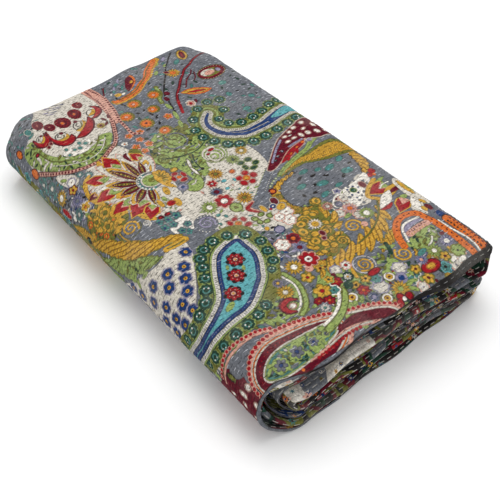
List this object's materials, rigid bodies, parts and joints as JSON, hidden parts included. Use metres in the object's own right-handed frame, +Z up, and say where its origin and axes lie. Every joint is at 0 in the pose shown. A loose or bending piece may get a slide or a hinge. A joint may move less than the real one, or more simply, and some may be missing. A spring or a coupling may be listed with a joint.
{
  "type": "folded kantha quilt",
  "caption": "Thin hand-stitched quilted cotton bedcover with an all-over paisley and flower print, folded into a thick rectangular block.",
  "frame": {"origin": "middle of the folded block's underside", "axes": "+X along the block to the end where the hems and folds show, +Y across it away from the big round fold, +Z up"},
  "size_m": [0.5757, 0.3302, 0.09],
  "materials": {
    "printed_cotton": "matt printed cotton with rows of running stitch"
  },
  "bodies": {
    "root": {"quilt": "printed_cotton"}
  },
  "joints": []
}
